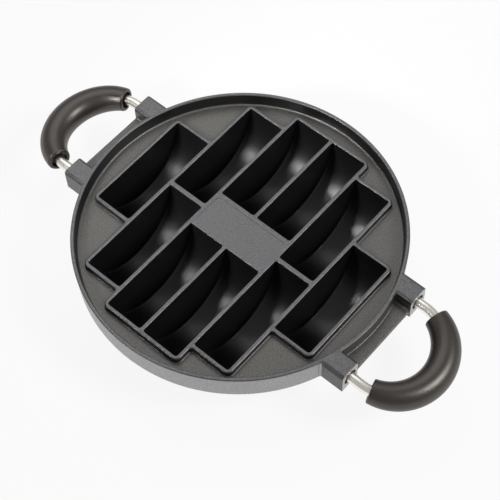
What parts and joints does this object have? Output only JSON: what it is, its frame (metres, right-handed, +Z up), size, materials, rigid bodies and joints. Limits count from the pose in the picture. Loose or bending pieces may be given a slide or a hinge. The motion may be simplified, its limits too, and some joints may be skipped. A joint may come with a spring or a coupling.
{
  "type": "multi-cavity cake mould",
  "caption": "Round cast cake mould with half-moon cavities, a raised rim, and a steel rod handle with a moulded grip on each side.",
  "frame": {"origin": "under the pan's centre, on the plane that the cavities' feet stand on", "axes": "+X along the handle axis, +Y along the length of the cavities, +Z up out of the cavities"},
  "size_m": [0.3676, 0.2404, 0.0527],
  "materials": {
    "nonstick_coat": "dark charcoal non-stick coat with a fine speckle, satin",
    "bright_steel": "bright drawn steel rod, nickel tone",
    "grip_resin": "moulded heat-resistant resin, soft sheen",
    "black_steel": "black oxide"
  },
  "bodies": {
    "root": {"mould_casting": "nonstick_coat", "handle_rod_left": "bright_steel", "handle_rod_right": "bright_steel", "handle_grip_left": "grip_resin", "handle_grip_right": "grip_resin", "rod_set_screw_1": "black_steel", "rod_set_screw_2": "black_steel", "rod_set_screw_3": "black_steel", "rod_set_screw_4": "black_steel"}
  },
  "joints": []
}
